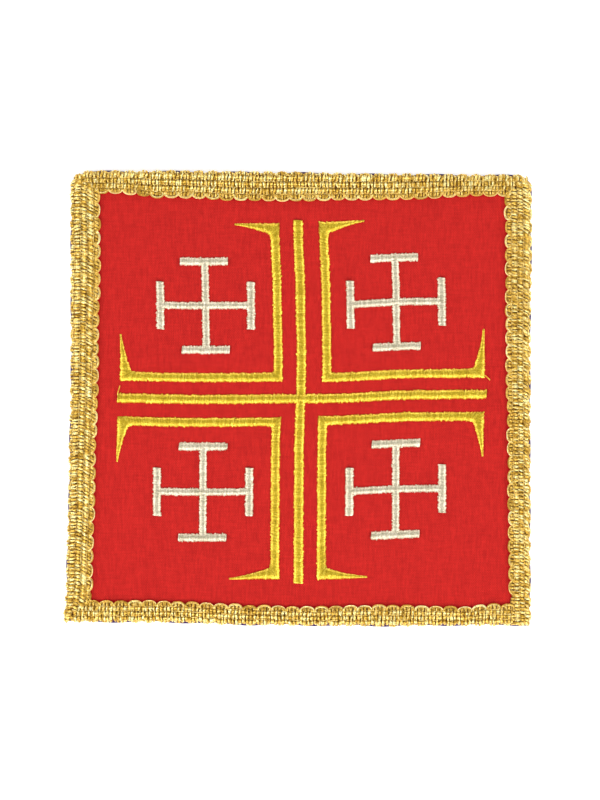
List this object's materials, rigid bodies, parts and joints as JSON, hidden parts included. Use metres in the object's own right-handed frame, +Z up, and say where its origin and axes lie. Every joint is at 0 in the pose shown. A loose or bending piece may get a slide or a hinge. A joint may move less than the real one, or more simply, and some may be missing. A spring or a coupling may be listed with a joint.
{
  "type": "chalice pall",
  "caption": "Flat square chalice pall of red cloth edged with scalloped gold braid and embroidered with a gold cross, brackets and small silver crosses.",
  "frame": {"origin": "under the middle of the pall's outer box, on the surface that it lies on", "axes": "+X to the right and +Y to the top of the embroidered face, +Z up out of the face"},
  "size_m": [0.1672, 0.1632, 0.0044],
  "materials": {
    "red_cloth": "matt plain weave",
    "violet_cloth": "matt plain weave",
    "gold_braid": "metallic yarn, glinting",
    "gold_thread": "satin stitch, silky",
    "silver_thread": "satin stitch, silky"
  },
  "bodies": {
    "root": {"reverse_cloth": "violet_cloth", "face_cloth": "red_cloth", "braid_right": "gold_braid", "braid_top": "gold_braid", "braid_left": "gold_braid", "braid_bottom": "gold_braid", "gold_cross": "gold_thread", "gold_bracket_top_left": "gold_thread", "gold_bracket_top_right": "gold_thread", "gold_bracket_bottom_left": "gold_thread", "gold_bracket_bottom_right": "gold_thread", "silver_cross_top_left": "silver_thread", "silver_cross_top_right": "silver_thread", "silver_cross_bottom_left": "silver_thread", "silver_cross_bottom_right": "silver_thread"}
  },
  "joints": []
}
